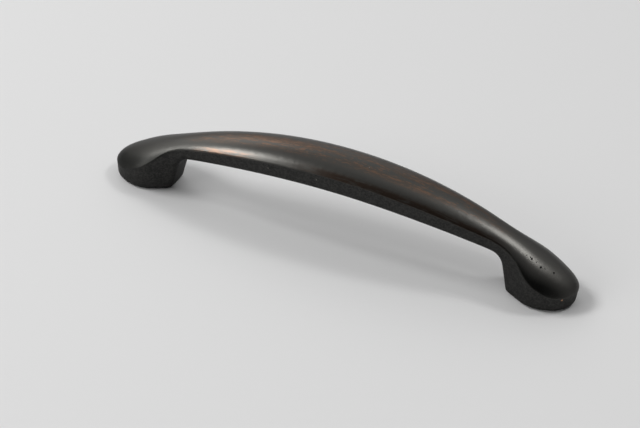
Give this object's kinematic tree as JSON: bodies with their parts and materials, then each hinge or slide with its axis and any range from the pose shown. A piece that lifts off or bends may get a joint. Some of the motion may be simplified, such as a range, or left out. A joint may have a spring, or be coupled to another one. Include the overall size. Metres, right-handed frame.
{
  "type": "cabinet handle",
  "caption": "Arched cabinet pull with a crowned bar that narrows to spoon-shaped feet, screwed on from behind.",
  "frame": {"origin": "on the mounting face, midway between the two screw axes", "axes": "+X along the pull, +Y across it, +Z away from the drawer front"},
  "size_m": [0.1498, 0.0186, 0.0276],
  "materials": {
    "casting": "dark oil-rubbed bronze over zinc, satin crown and matt cast sides"
  },
  "bodies": {
    "root": {"handle": "casting"}
  },
  "joints": []
}
